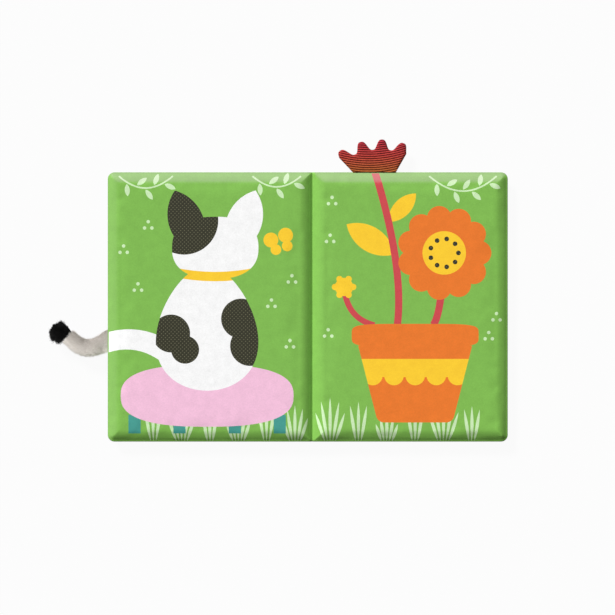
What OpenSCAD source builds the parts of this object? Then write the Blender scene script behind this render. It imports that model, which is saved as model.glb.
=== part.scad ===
// Open cloth book lying on a table. Two padded covers carry two padded pages,
// all sewn together at the spine. A stuffed tail with a furry tuft is sewn into the
// left page's edge and a ribbed crest into the right page's top edge.
// Millimetres. The fold runs along Y through the origin, and the table is at z = 0.

/* [Pages] */
// Height of the pages, from bottom edge to top edge
page_h = 200; // [180:1:250]
// Width of the left page, from the fold to its outer edge
left_page_w = 152; // [135:1:190]
// Width of the right page, from the fold to its outer edge
right_page_w = 145; // [135:1:190]
// Thickness of a padded page
page_t = 7; // [5:0.5:12]
// Height of a page's edge seam above the page's underside
page_seam_z = 1; // [0.5:0.25:2]
// Radius of the outer corners
corner_r = 5; // [2:0.5:12]
// Width of the slope from the padding down to the edge seam
slope_w = 8.5; // [6:0.5:14]
// Height of the sewn edge
seam_t = 2; // [1:0.25:3]

/* [Covers and spine] */
// Thickness of a padded cover
cover_t = 7; // [5:0.5:12]
// Height of a cover's edge seam above the table
cover_seam_z = 2.5; // [2:0.25:3]
// How far the covers stay inside the pages' outer edges
cover_inset = 1; // [0:0.25:3]
// Gap between the two halves at the fold
fold_gap = 1; // [0.8:0.1:2]
// Thickness of the spine cloth under the fold
spine_t = 0.8; // [0.4:0.1:1.2]
// How far the spine cloth stops short of the page's ends
spine_end_gap = 2; // [1:0.5:10]
// Running clearance between the front half and the spine
fold_clearance = 0.3; // [0.2:0.05:0.4]

/* [Tail] */
// Height of the tail's root on the page, measured from mid-height
tail_y = -25; // [-50:1:10]
// Diameter of the stuffed tail
tail_d = 14; // [9:0.2:15]
// Diameter of the tail where the tuft starts
tail_end_d = 12.8; // [8:0.2:14]
// Width of the tail where it is sewn in
tail_root_w = 16.6; // [14:0.2:20]
// Angle below level at which the tail leaves the page's edge
tail_root_angle = 27; // [10:0.5:50]
// Straight length of the tail before its bend
tail_lead = 8.5; // [5:0.5:20]
// Radius of the tail's bend
tail_bend_r = 15; // [12:0.5:30]
// Angle through which the tail turns upwards
tail_turn = 69; // [45:0.5:110]
// Straight length of the tail after its bend
tail_reach = 6.5; // [4:0.5:20]
// Length of the furry tuft
tuft_len = 13.5; // [10:0.5:24]
// Angle by which the tuft droops from the tail's direction
tuft_droop = 12; // [0:1:20]
// Width of the furry tuft
tuft_d = 17.4; // [16:0.2:22]

/* [Crest] */
// Distance of the crest's middle from the fold
crest_x = 46; // [35:0.5:100]
// Width of the crest where it is sewn in
crest_root_w = 32; // [20:0.5:44]
// Height of the crest's tips above the page
crest_h = 24.5; // [18:0.5:32]
// Angle at which the crest's sides flare
crest_flare = 36.5; // [20:0.5:40]
// How far the crest leans towards the fold
crest_lean = 7; // [0:0.5:10]
// Number of rounded tips
crest_tips = 4; // [3:1:6]
// Depth of the notches between the tips
crest_notch = 7.4; // [4:0.2:10]
// Thickness of the crest's cloth between the ribs
crest_t = 2; // [1.4:0.2:2]
// Distance from rib to rib
rib_pitch = 1.6; // [1.2:0.1:3]
// Height of a rib
rib_h = 0.4; // [0.2:0.05:0.6]

/* [Left print] */
// Thickness of a printed colour field
print_t = 0.2; // [0.1:0.05:0.4]
// Bare margin between the print and the page's edge
print_margin = 0.5; // [0.2:0.1:3]
// Distance of the sitting cat's middle from the fold
cat_x = 78; // [70:1:90]
// Height of the cat's middle above mid-height
cat_y = -16; // [-26:1:-6]
// Width of the cat's body
cat_w = 74; // [60:1:84]
// Height of the cat's body
cat_h = 92; // [80:1:100]
// Width of the cat's head
head_w = 64; // [54:1:72]
// Height of the cat's head
head_h = 46; // [38:1:52]
// Length of the cat's ears
ear_len = 50; // [40:1:56]
// Width of the cushion
cushion_w = 128; // [100:1:136]
// Height of the cushion
cushion_h = 46; // [36:1:54]
// Width of the collar
collar_w = 7; // [4:0.5:10]
// Span of the butterfly's wings
butterfly_w = 22; // [14:1:26]

/* [Right print] */
// Distance of the flowerpot's middle from the fold
pot_x = 76; // [70:1:86]
// Width of the flowerpot's rim
pot_rim_w = 94; // [80:1:104]
// Height of the flowerpot's rim
pot_rim_h = 17; // [12:1:24]
// Width of the flowerpot's foot
pot_foot_w = 58; // [46:1:66]
// Height of the flowerpot under its rim
pot_h = 56; // [46:1:64]
// Radius of the large bloom
bloom_r = 35; // [26:1:38]
// Number of petals
bloom_petals = 11; // [8:1:14]
// Width of the stems
stem_w = 5.4; // [3:0.2:8]
// Length of the longest leaf
leaf_len = 42; // [30:1:48]

/* [Grass and vines] */
// Length of the longest grass blade
blade_len = 34; // [20:1:40]
// Width of a grass blade
blade_w = 2.4; // [1.6:0.1:3]
// Distance from one tuft of grass to the next
tuft_pitch = 21; // [20:1:40]
// Length of a vine leaf
vine_leaf_len = 9; // [6:0.5:11]
// Width of the vines
vine_w = 1.2; // [0.8:0.1:2]
// Radius of a printed dot
dot_r = 1.3; // [0.8:0.1:2]

/* [Hidden] */
$fn = 64;

LEFT = -1;
RIGHT = 1;
grass_green = [0.50, 0.72, 0.33];
pale_green = [0.80, 0.90, 0.70];
charcoal = [0.23, 0.23, 0.18];
sun_yellow = [1.00, 0.80, 0.20];

page_z = cover_t;
page_seam_mid = page_z + page_seam_z + seam_t / 2;
fold_x = fold_gap / 2;
half_h = page_h / 2;
// The spine cloth ends where it would meet the covers' slopes
spine_half_w = fold_x + slope_w * (1 - (spine_t + fold_clearance) / cover_seam_z);

table_gap = 0.3;
tail_z = tuft_d / 2 + table_gap;
tail_root = [-left_page_w, tail_y];
tail_dir = [-cos(tail_root_angle), -sin(tail_root_angle)];
tail_bend_start = tail_root + tail_lead * tail_dir;
tail_centre = tail_bend_start + tail_bend_r * [tail_dir.y, -tail_dir.x];
tail_bend_len = tail_bend_r * tail_turn * PI / 180;
tail_len = tail_lead + tail_bend_len + tail_reach;
tail_end_angle = 270 + tail_root_angle - tail_turn;

// Two-dimensional helpers

// Points of a rounded square, from an ellipse at power 2 towards a box
function squircle(centre, w, h, power, steps = 72) = [
    for (i = [0 : steps - 1])
        let (c = cos(360 * i / steps), s = sin(360 * i / steps))
        centre + [w / 2 * sign(c) * pow(abs(c), 2 / power),
                  h / 2 * sign(s) * pow(abs(s), 2 / power)]
];

function bend_point(a, b, c, u) = (1 - u) * (1 - u) * a + 2 * u * (1 - u) * b + u * u * c;

function bend_normal(a, b, c, u) =
    let (d = (1 - u) * (b - a) + u * (c - b)) [-d.y, d.x] / norm(d);

// Outline of a band that bends from a past b to c, w0 wide at the start and w1 at the end
function band(a, b, c, w0, w1, steps = 16) = concat(
    [for (i = [0 : steps]) let (u = i / steps)
        bend_point(a, b, c, u) + bend_normal(a, b, c, u) * (w0 + (w1 - w0) * u) / 2],
    [for (i = [steps : -1 : 0]) let (u = i / steps)
        bend_point(a, b, c, u) - bend_normal(a, b, c, u) * (w0 + (w1 - w0) * u) / 2]
);

// Points of an egg that narrows towards its top
function egg(centre, w, h, taper, steps = 72) = [
    for (i = [0 : steps - 1])
        let (c = cos(360 * i / steps), s = sin(360 * i / steps))
        centre + [w / 2 * c * (1 - taper * s), h / 2 * s]
];

module on_side(side) {
    mirror([side < 0 ? 1 : 0, 0, 0]) children();
}

// Pointed leaf from the origin along +X: the overlap of two circles, with fine steps
// because only a short arc of each is kept
module leaf_2d(len, w) {
    r = (len * len / 4 + w * w / 4) / w;
    intersection() {
        translate([len / 2, r - w / 2]) circle(r, $fn = 720);
        translate([len / 2, w / 2 - r]) circle(r, $fn = 720);
    }
}

// Fan of grass blades that grow side by side
module tuft_2d(blades, len) {
    spread = 9;
    for (i = [0 : blades - 1]) {
        place = i - (blades - 1) / 2;
        translate([place * blade_w * 0.8, 0]) rotate(90 - place * spread)
            leaf_2d(len * cos(place * 2.6 * spread), blade_w);
    }
}

// Row of tufts along a page's bottom edge, away from the fold on the given side
module grass_row_2d(side, page_w, phase) {
    count = floor((page_w - tuft_pitch / 2) / tuft_pitch);
    for (i = [0 : count - 1])
        translate([side * tuft_pitch * (i + 0.62), -half_h])
            tuft_2d(i % 2 == 0 ? 5 : 3, blade_len * (0.8 + 0.2 * sin(i * 97 + phase)));
}

// Vine that hangs between two points of the top edge, with leaves on both sides
module vine_2d(x0, x1) {
    sag = 0.45 * abs(x1 - x0);
    a = [x0, half_h - 3];
    b = [(x0 + x1) / 2, half_h - 3 - sag];
    c = [x1, half_h - 3];
    leaves = floor(abs(x1 - x0) / vine_leaf_len * 1.5);
    polygon(band(a, b, c, vine_w, vine_w));
    for (i = [1 : leaves - 1]) {
        u = i / leaves;
        turn = i % 2 == 0 ? 1 : -1;
        n = bend_normal(a, b, c, u) * turn;
        root = bend_point(a, b, c, u) + n * vine_w;
        translate(root) rotate(atan2(n.y, n.x) - turn * 35) leaf_2d(vine_leaf_len, vine_leaf_len * 0.42);
    }
}

module three_dots_2d() {
    for (i = [0 : 2]) rotate(90 + 120 * i) translate([2.4 * dot_r, 0]) circle(dot_r);
}

// Padded leaves

// Section of a padded leaf from edge a to edge b: flat padding with slopes that fall
// to the edge seam and run on past it by over
function slope_section(a, b, t, seam_z, over) =
    let (fall = (t - seam_z - seam_t) / slope_w, rise = seam_z / slope_w,
         top = seam_z + seam_t - fall * over, bottom = seam_z + rise * over) [
        [a + slope_w, 0], [a - over, bottom], [a - over, top], [a + slope_w, t],
        [b - slope_w, t], [b + over, top], [b + over, bottom], [b - slope_w, 0],
    ];

// Block with the slopes of a padded leaf on all four sides
module sloped_block(w, h, t, seam_z, over) {
    long = 2 * over;
    intersection() {
        translate([0, h / 2 + long, 0]) rotate([90, 0, 0]) linear_extrude(h + 2 * long)
            polygon(slope_section(fold_x, w, t, seam_z, over));
        translate([-long, 0, 0]) rotate([90, 0, 90]) linear_extrude(w + 2 * long)
            polygon(slope_section(-h / 2, h / 2, t, seam_z, over));
    }
}

// Flat outline of a leaf: square at the fold, round at the outer corners
module leaf_outline(w, h, r, margin = 0) {
    inner_r = max(r - margin, 0.5);
    x0 = fold_x + margin;
    x1 = w - margin;
    y1 = h / 2 - margin;
    translate([x0, -y1]) square([x1 - inner_r - x0, 2 * y1]);
    translate([x0, inner_r - y1]) square([x1 - x0, 2 * (y1 - inner_r)]);
    for (s = [-1, 1]) translate([x1 - inner_r, s * (y1 - inner_r)]) circle(inner_r);
}

module padded_leaf(w, h, t, seam_z) {
    intersection() {
        translate([0, 0, -1]) linear_extrude(t + 2) leaf_outline(w, h, corner_r);
        sloped_block(w, h, t, seam_z, 1);
    }
}

module front_cover() {
    color(grass_green) on_side(LEFT)
        padded_leaf(left_page_w - cover_inset, page_h - 2 * cover_inset, cover_t, cover_seam_z);
}

module back_cover() {
    color(grass_green) on_side(RIGHT)
        padded_leaf(right_page_w - cover_inset, page_h - 2 * cover_inset, cover_t, cover_seam_z);
}

module left_page() {
    color(grass_green) translate([0, 0, page_z]) on_side(LEFT)
        padded_leaf(left_page_w, page_h, page_t, page_seam_z);
}

module right_page() {
    color(grass_green) translate([0, 0, page_z]) on_side(RIGHT)
        padded_leaf(right_page_w, page_h, page_t, page_seam_z);
}

// Sewn layers of cloth between the halves, over the spine's flat cloth
module spine() {
    seam_w = fold_gap - fold_clearance;
    seam_h = page_z + page_seam_z + seam_t;
    length = page_h - 2 * spine_end_gap;
    color(grass_green) {
        translate([-spine_half_w, -length / 2, 0]) cube([2 * spine_half_w, length, spine_t]);
        translate([fold_x - seam_w, -length / 2, 0]) cube([seam_w, length, seam_h]);
    }
}

// Tail and crest

// Rises smoothly from 0 to 1 as u goes from 0 to 1
function ease(u) = let (v = min(max(u, 0), 1)) v * v * (3 - 2 * v);

// Angle through which the tail has turned at a length from its root
function tail_turned(len) = tail_turn * min(max((len - tail_lead) / tail_bend_len, 0), 1);

// Middle of the tail at a length from its root: straight, bend, straight
function tail_point(len) =
    let (arc = 270 + tail_root_angle - tail_turned(len),
         before = min(len - tail_lead, 0),
         after = max(len - tail_lead - tail_bend_len, 0),
         end_dir = [sin(tail_end_angle), -cos(tail_end_angle)])
    tail_centre + tail_bend_r * [cos(arc), sin(arc)] + before * tail_dir + after * end_dir;

// One ring of the tail, from its root at u = 0 to its tuft at u = 1. The root is pressed
// flat in the page's seam, and the tail rounds out over its first third.
function tail_ring(u, sides) =
    let (full = ease(3 * u),
         side = 270 + tail_root_angle * full - tail_turned(tail_len * u),
         centre = tail_point(tail_len * u),
         d = tail_d + (tail_end_d - tail_d) * ease(1.6 * u - 0.6),
         half_w = (d * full + tail_root_w * (1 - full)) / 2,
         half_t = (seam_t + (d - seam_t) * full) / 2,
         z = page_seam_mid + (tail_z - page_seam_mid) * full)
    [for (j = [0 : sides - 1])
        let (a = 360 * j / sides)
        [centre.x + half_w * cos(a) * cos(side), centre.y + half_w * cos(a) * sin(side), z + half_t * sin(a)]];

module tail() {
    sides = 20;
    rings = 18;
    points = [for (i = [0 : rings]) each tail_ring(i / rings, sides)];
    walls = [for (i = [0 : rings - 1], j = [0 : sides - 1])
        let (a = i * sides + j, b = i * sides + (j + 1) % sides) [a, b, b + sides, a + sides]];
    root = [for (j = [sides - 1 : -1 : 0]) j];
    end = [for (j = [0 : sides - 1]) rings * sides + j];
    color([0.78, 0.73, 0.68]) polyhedron(points, concat(walls, [root, end]));
}

// Furry end: widens from the tail, then closes in a blunt tip. Its collar is cut off level
// with the tail's end, so the two meet face to face.
module tail_tuft() {
    steps = 10;
    widest = 0.5;
    collar = tail_end_d * tan(tuft_droop);
    end = tail_point(tail_len);
    profile = [for (i = [0 : steps]) let (u = i / steps, v = (u - widest) / (1.05 - widest))
        [u < widest ? (tail_end_d + (tuft_d - tail_end_d) * sin(90 * u / widest)) / 2
                    : tuft_d / 2 * sqrt(1 - v * v),
         tuft_len * u]];
    color([0.04, 0.04, 0.04]) translate([end.x, end.y, tail_z]) difference() {
        rotate([90, 0, tail_end_angle + tuft_droop]) rotate_extrude()
            polygon(concat([[0, -collar], [tail_end_d / 2, -collar]], profile, [[0, tuft_len]]));
        rotate([90, 0, tail_end_angle]) translate([-tuft_d, -tuft_d, -2 * tuft_d])
            cube(2 * tuft_d);
    }
}

// Outline of the crest: a fan with rounded tips, seen from above. The outer tips are a little
// longer than the middle ones, most of all on the side it leans to.
function crest_outline() =
    let (left = tan(crest_flare + crest_lean),
         right = tan(crest_flare - crest_lean),
         apex_drop = crest_root_w / (left + right),
         apex = [crest_x - crest_root_w / 2 + apex_drop * left, half_h - apex_drop],
         first_share = 0.26,
         last_share = 0.36,
         skew = 0.014,
         spread = 0.04,
         pitch = 2 * crest_flare / (crest_tips - 1 + first_share + last_share),
         steps = 24 * crest_tips,
         mean = crest_h + apex_drop - crest_notch / 2)
    concat(
        [[crest_x + crest_root_w / 2, half_h], [crest_x - crest_root_w / 2, half_h]],
        [for (i = [0 : steps])
            let (a = -crest_flare + 2 * crest_flare * i / steps,
                 wave = cos(360 * ((a + crest_flare) / pitch - first_share)),
                 r = mean + crest_notch / 2 * wave * (1.4 - 0.4 * wave * wave),
                 share = a / crest_flare,
                 longer = 1 - skew * share + spread * share * share)
            apex + r * longer * [sin(a - crest_lean), cos(a - crest_lean)]]
    );

// Section of the ribbed cloth along the crest's height
function ribbed_section() =
    let (points = 6, rows = ceil((crest_h + rib_pitch) / rib_pitch), steps = rows * points,
         y = function(i) half_h + i * rib_pitch / points,
         z = function(i) crest_t / 2 + rib_h * abs(sin(180 * i / points)))
    concat([for (i = [0 : steps]) [y(i), z(i)]], [for (i = [steps : -1 : 0]) [y(i), -z(i)]]);

module crest() {
    thick = crest_t + 2 * rib_h + 1;
    reach = crest_root_w + 2 * crest_h;
    color([0.60, 0.20, 0.19]) translate([0, 0, page_seam_mid]) intersection() {
        translate([0, 0, -thick / 2]) linear_extrude(thick) polygon(crest_outline());
        translate([crest_x - reach, 0, 0]) rotate([90, 0, 90]) linear_extrude(2 * reach)
            polygon(ribbed_section());
    }
}

// Printed colour fields

// Lays a flat shape on a page as a thin field that follows the padding and its slopes
module printed(side) {
    w = side < 0 ? left_page_w : right_page_w;
    difference() {
        intersection() {
            translate([0, 0, page_z]) linear_extrude(2 * page_t) intersection() {
                on_side(side) leaf_outline(w, page_h, corner_r, print_margin);
                children();
            }
            translate([0, 0, page_z + print_t]) on_side(side)
                sloped_block(w, page_h, page_t, page_seam_z, 1);
        }
        translate([0, 0, page_z]) on_side(side) sloped_block(w, page_h, page_t, page_seam_z, 2);
    }
}

// Left print: a cat seen from behind, sitting on a cushion

head = [-cat_x + 6, cat_y + cat_h / 2 + head_h * 0.30];
cushion_y = cat_y - cat_h / 2 - cushion_h * 0.08;

module cat_body_2d() {
    polygon(egg([-cat_x, cat_y], cat_w, cat_h, 0.24));
}

module cat_head_2d() {
    polygon(squircle(head, head_w, head_h, 2.4));
    for (s = [-1, 1])
        translate(head + [s * head_w * 0.20, -head_h * 0.10]) rotate(90 - s * 20)
            leaf_2d(ear_len, ear_len * 0.52);
}

// Printed tail: runs to the page's edge, where the stuffed tail is sewn in
module cat_tail_2d() {
    run_out = tail_d;
    polygon(band([-cat_x - cat_w * 0.16, cat_y - cat_h * 0.38],
                 tail_root - tail_dir * (left_page_w - cat_x) * 0.45,
                 tail_root + tail_dir * run_out, tail_d * 1.2, tail_d));
}

module cat_2d() {
    cat_body_2d();
    cat_head_2d();
    cat_tail_2d();
}

module cat_patches_2d() {
    intersection() {
        translate(head + [-head_w * 0.36, head_h * 0.44]) circle(head_h * 0.55);
        cat_head_2d();
    }
    intersection() {
        cat_body_2d();
        union() {
            translate([-cat_x + cat_w * 0.34, cat_y + cat_h * 0.08]) circle(cat_w * 0.20);
            translate([-cat_x + cat_w * 0.43, cat_y - cat_h * 0.14]) circle(cat_w * 0.20);
            translate([-cat_x - cat_w * 0.36, cat_y - cat_h * 0.04]) circle(cat_w * 0.19);
            translate([-cat_x - cat_w * 0.22, cat_y - cat_h * 0.17]) circle(cat_w * 0.14);
        }
    }
}

module collar_2d() {
    neck = head - [0, head_h * 0.42];
    intersection() {
        polygon(band(neck + [-head_w, 12], neck + [0, -16], neck + [head_w, 12], collar_w, collar_w));
        union() {
            cat_body_2d();
            cat_head_2d();
        }
    }
}

module butterfly_2d() {
    translate([-fold_x - slope_w - butterfly_w * 0.7, head.y + head_h * 0.1]) rotate(18)
        for (s = [-1, 1]) {
            translate([s * butterfly_w * 0.26, butterfly_w * 0.14]) circle(butterfly_w * 0.25);
            translate([s * butterfly_w * 0.20, -butterfly_w * 0.22]) circle(butterfly_w * 0.18);
        }
}

module cushion_2d() {
    polygon(squircle([-cat_x, cushion_y], cushion_w, cushion_h, 2.6));
}

module tassels_2d() {
    tassel_w = 9;
    for (s = [-0.42, -0.16, 0.16, 0.42])
        translate([-cat_x + s * cushion_w - tassel_w / 2, cushion_y - cushion_h / 2 - 5])
            square([tassel_w, cushion_h * 0.3]);
}

module left_grass_2d() {
    grass_row_2d(LEFT, left_page_w, 0);
    vine_2d(-left_page_w + slope_w, -left_page_w + slope_w + 40);
    vine_2d(-slope_w - 36, -slope_w);
    for (p = [[-0.92, 0.42], [-0.85, 0.14], [-0.80, 0.60], [-0.10, 0.20], [-0.20, 0.02], [-0.11, -0.28]])
        translate([p.x * left_page_w, p.y * half_h]) three_dots_2d();
}

module left_print_white() {
    color("white") printed(LEFT) difference() {
        cat_2d();
        cat_patches_2d();
        collar_2d();
    }
}

module left_print_charcoal() {
    color(charcoal) printed(LEFT) difference() {
        cat_patches_2d();
        collar_2d();
    }
}

module left_print_pink() {
    color([0.95, 0.76, 0.86]) printed(LEFT) difference() {
        cushion_2d();
        cat_2d();
    }
}

module left_print_yellow() {
    color(sun_yellow) printed(LEFT) {
        collar_2d();
        butterfly_2d();
    }
}

module left_print_teal() {
    color([0.28, 0.61, 0.60]) printed(LEFT) difference() {
        tassels_2d();
        cushion_2d();
    }
}

module left_print_grass() {
    color(pale_green) printed(LEFT) difference() {
        left_grass_2d();
        cat_2d();
        cushion_2d();
        tassels_2d();
        butterfly_2d();
    }
}

// Right print: flowers in a pot, with the crest as the bloom at the top

pot_foot_y = -half_h + slope_w + 6;
pot_rim_y = pot_foot_y + pot_h;
pot_top_y = pot_rim_y + pot_rim_h;
bloom = [right_page_w - bloom_r - slope_w - 4, pot_top_y + bloom_r * 1.5];
bud_r = bloom_r * 0.26;
bud = [pot_x - pot_rim_w * 0.56, pot_top_y + bud_r * 3];
stem_root = [pot_x - pot_rim_w * 0.14, pot_top_y - 1];
stem_bend = [crest_x + 22, half_h * 0.30];

module pot_2d() {
    inset = 5;
    foot_r = 6;
    hull() {
        for (s = [-1, 1])
            translate([pot_x + s * (pot_foot_w / 2 - foot_r), pot_foot_y + foot_r]) circle(foot_r);
        translate([pot_x - pot_rim_w / 2 + inset, pot_rim_y]) square([pot_rim_w - 2 * inset, 1]);
    }
    polygon(squircle([pot_x, pot_rim_y + pot_rim_h / 2], pot_rim_w, pot_rim_h, 5));
}

module pot_band_2d() {
    scallops = 6;
    pitch = pot_rim_w / scallops;
    intersection() {
        pot_2d();
        union() {
            translate([pot_x - pot_rim_w, pot_rim_y - pot_h * 0.40]) square([2 * pot_rim_w, pot_h * 0.24]);
            for (i = [0 : scallops])
                translate([pot_x + (i - scallops / 2) * pitch, pot_rim_y - pot_h * 0.38]) circle(pitch * 0.46);
        }
    }
}

module petals_2d(centre, r, count) {
    petal_r = r * 0.26;
    translate(centre) {
        circle(r - petal_r);
        for (i = [0 : count - 1]) rotate(360 * i / count) translate([r - petal_r, 0]) circle(petal_r);
    }
}

module bloom_2d() {
    petals_2d(bloom, bloom_r, bloom_petals);
}

module bud_2d() {
    petals_2d(bud, bud_r, 6);
}

module bloom_middle_2d() {
    translate(bloom) circle(bloom_r * 0.46);
}

module seeds_2d() {
    seeds = 9;
    translate(bloom) for (i = [0 : seeds - 1])
        rotate(360 * i / seeds) translate([bloom_r * 0.30, 0]) circle(bloom_r * 0.05);
}

module stems_2d() {
    polygon(band(stem_root, stem_bend, [crest_x, half_h + 1], stem_w, stem_w));
    polygon(band([pot_x + pot_rim_w * 0.14, stem_root.y], [bloom.x - 2, pot_top_y + 6], bloom,
                 stem_w, stem_w));
    polygon(band([pot_x - pot_rim_w * 0.32, stem_root.y], [bud.x + 2, pot_top_y + 4], bud,
                 stem_w * 0.8, stem_w * 0.8));
}

module leaves_2d() {
    translate(bend_point(stem_root, stem_bend, [crest_x, half_h], 0.52)) rotate(148)
        leaf_2d(leaf_len, leaf_len * 0.44);
    translate(bend_point(stem_root, stem_bend, [crest_x, half_h], 0.72)) rotate(46)
        leaf_2d(leaf_len * 0.7, leaf_len * 0.30);
}

module right_grass_2d() {
    grass_row_2d(RIGHT, right_page_w, 60);
    vine_2d(right_page_w - slope_w - 50, right_page_w - slope_w);
    for (p = [[0.10, 0.78], [0.62, 0.62], [0.08, -0.20], [0.94, -0.08], [0.90, -0.22], [0.09, 0.50]])
        translate([p.x * right_page_w, p.y * half_h]) three_dots_2d();
}

module right_print_orange() {
    color([0.92, 0.48, 0.18]) printed(RIGHT) difference() {
        union() {
            pot_2d();
            bloom_2d();
        }
        pot_band_2d();
        bloom_middle_2d();
    }
}

module right_print_yellow() {
    color(sun_yellow) printed(RIGHT) {
        pot_band_2d();
        bud_2d();
        difference() {
            bloom_middle_2d();
            seeds_2d();
        }
        difference() {
            leaves_2d();
            stems_2d();
            bloom_2d();
            bud_2d();
        }
    }
}

module right_print_red() {
    color([0.78, 0.26, 0.27]) printed(RIGHT) difference() {
        stems_2d();
        pot_2d();
        bloom_2d();
        bud_2d();
    }
}

module right_print_charcoal() {
    color(charcoal) printed(RIGHT) seeds_2d();
}

module right_print_grass() {
    color(pale_green) printed(RIGHT) difference() {
        right_grass_2d();
        pot_2d();
        stems_2d();
        leaves_2d();
        bloom_2d();
        bud_2d();
    }
}

front_cover();
back_cover();
left_page();
right_page();
spine();
tail();
tail_tuft();
crest();
left_print_white();
left_print_charcoal();
left_print_pink();
left_print_yellow();
left_print_teal();
left_print_grass();
right_print_orange();
right_print_yellow();
right_print_red();
right_print_charcoal();
right_print_grass();
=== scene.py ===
"""Looks of the open cloth book: padded printed leaves, a plush tail, a fur tuft and a ribbed crest."""
import math
import random

import bpy
import numpy as np
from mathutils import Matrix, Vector, noise
from mathutils.bvhtree import BVHTree
from mathutils.geometry import delaunay_2d_cdt


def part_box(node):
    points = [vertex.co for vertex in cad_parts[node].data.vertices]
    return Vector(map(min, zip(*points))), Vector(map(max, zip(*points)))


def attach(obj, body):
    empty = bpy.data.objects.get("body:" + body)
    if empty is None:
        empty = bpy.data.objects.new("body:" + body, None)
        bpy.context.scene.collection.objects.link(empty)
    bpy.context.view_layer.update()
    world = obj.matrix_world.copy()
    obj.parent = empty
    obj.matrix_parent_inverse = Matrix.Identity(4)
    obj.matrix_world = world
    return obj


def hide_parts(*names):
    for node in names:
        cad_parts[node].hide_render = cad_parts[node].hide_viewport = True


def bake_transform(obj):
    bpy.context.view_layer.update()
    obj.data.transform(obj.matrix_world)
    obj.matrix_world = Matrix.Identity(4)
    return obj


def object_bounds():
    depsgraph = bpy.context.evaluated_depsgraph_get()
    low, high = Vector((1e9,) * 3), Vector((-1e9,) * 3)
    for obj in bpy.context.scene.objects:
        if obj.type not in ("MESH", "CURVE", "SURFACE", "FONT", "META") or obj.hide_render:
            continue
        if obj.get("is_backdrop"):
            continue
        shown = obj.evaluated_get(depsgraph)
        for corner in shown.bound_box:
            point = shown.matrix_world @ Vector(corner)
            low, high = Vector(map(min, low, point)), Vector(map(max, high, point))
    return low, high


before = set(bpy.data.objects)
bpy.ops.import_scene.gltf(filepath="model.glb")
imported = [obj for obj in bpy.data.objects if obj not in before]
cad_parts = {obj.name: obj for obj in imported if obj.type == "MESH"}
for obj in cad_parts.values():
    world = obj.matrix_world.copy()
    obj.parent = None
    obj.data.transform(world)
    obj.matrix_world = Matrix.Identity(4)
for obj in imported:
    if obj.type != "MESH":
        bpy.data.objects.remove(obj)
CAD_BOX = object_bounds()
MM = 0.001

# Bodies of the frame
FRONT = "front_half"
BACK = "back_half"

# Padded leaves, in mm
CORNER_R = 5.0
FOLD_CORNER_R = 1.2
SLOPE_W = 8.5
ROLL_W = 0.8
ROLL_H = 1.15
SEAM_DEPTH = 0.7
PAGE_SEAM = 2.0
COVER_SEAM = 3.5
PUFF = 0.3
CLOTH_T = 0.12

# Rolled edge from the upper sheet to the under sheet, as shares of ROLL_W outward and ROLL_H upward
ROLL_PROFILE = ((0.62, 0.93), (0.95, 0.70), (1.0, 0.45), (0.86, 0.20), (1 - SEAM_DEPTH, 0.0),
                (0.86, -0.20), (1.0, -0.45), (0.95, -0.70), (0.62, -0.93), (0.0, -1.0))

# Rings of points that follow a leaf's slope, in mm from its edge
RING_INSETS = (1.9, 2.9, 4.1, 5.4, 6.6, 7.5, 8.2, 8.8, 9.5, 10.6, 12.2)

# Tail and tuft, in mm and degrees
TAIL_Y = -25.0
TAIL_D = 14.0
TAIL_END_D = 12.8
TAIL_ROOT_W = 16.6
TAIL_ROOT_ANGLE = 27.0
TAIL_LEAD = 8.5
TAIL_BEND_R = 15.0
TAIL_TURN = 69.0
TAIL_REACH = 6.5
TUFT_LEN = 13.5
TUFT_D = 17.4
TUFT_DROOP = 12.0
TABLE_GAP = 0.3

# Corners of the tuft: how far along and across its axis each lock reaches, in mm
TUFT_LOCKS = ((10.4, 7.4), (12.0, -6.0), (9.4, -8.5), (5.0, -8.0))

# Crest, in mm
RIB_PITCH = 1.66
RIB_T = 0.42
CREST_T = 1.0
CREST_EDGE_T = 0.12
CREST_EDGE_W = 2.4

# Colours, as sRGB, and how far a painted highlight pales the cloth on the top slope, with the left slope's
# share of that
GREEN = (128, 185, 82)
# Painted highlight: the grey that the lit top and left slopes are paled towards
HIGHLIGHT_GREY = (172, 160, 164)
TOP_HIGHLIGHT = 0.3
SIDE_HIGHLIGHT = 0.25
PIN_DOTS = (104, 102, 80)
PLUSH_ROOT = (198, 191, 186)
PLUSH_TIP = (255, 253, 250)
FUR_ROOT = (3, 3, 3)
FUR_TIP = (20, 19, 18)
CREST_LOW = (190, 110, 54)
CREST_MIDDLE = (206, 76, 68)
CREST_HIGH = (190, 54, 72)
CREST_WORN = (96, 26, 34)
# Painted shade for the crest's grooves
CREST_GROOVE_SHADE = (44, 0, 2)
FIELDS = {
    "white": (250, 250, 250),
    "charcoal": (50, 50, 37),
    "pink": (244, 194, 220),
    "yellow": (255, 205, 51),
    "teal": (72, 156, 145),
    "grass": (205, 235, 185),
    "orange": (234, 122, 46),
    "red": (205, 75, 80),
}
SLOTS = {"grass": "pale_print"}

# Light, with angles in degrees
FILL_LIGHT = 0.11
KEY_AZIMUTH = 126
KEY_ALTITUDE = 36
KEY_SPREAD = 14
FLOOR_GREY = 0.5
FLOOR_SHOWN = 0.95

# Camera: straight above the spread, far off with a long lens; the photograph's frame is 615 px across
FRAME_PX = 615
MM_PER_PX = 0.7402
AIM_X = -3.7
AIM_Y = -0.41
LENS = 110.0
SENSOR = 36.0


def linear(rgb):
    """Linear colour of an sRGB triple from 0 to 255."""
    def channel(c):
        c = c / 255
        return c / 12.92 if c <= 0.04045 else ((c + 0.055) / 1.055) ** 2.4
    return tuple(channel(c) for c in rgb) + (1.0,)


def ease(u):
    """Smooth step from 0 to 1."""
    v = np.clip(u, 0.0, 1.0)
    return v * v * (3 - 2 * v)


# Materials

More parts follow.
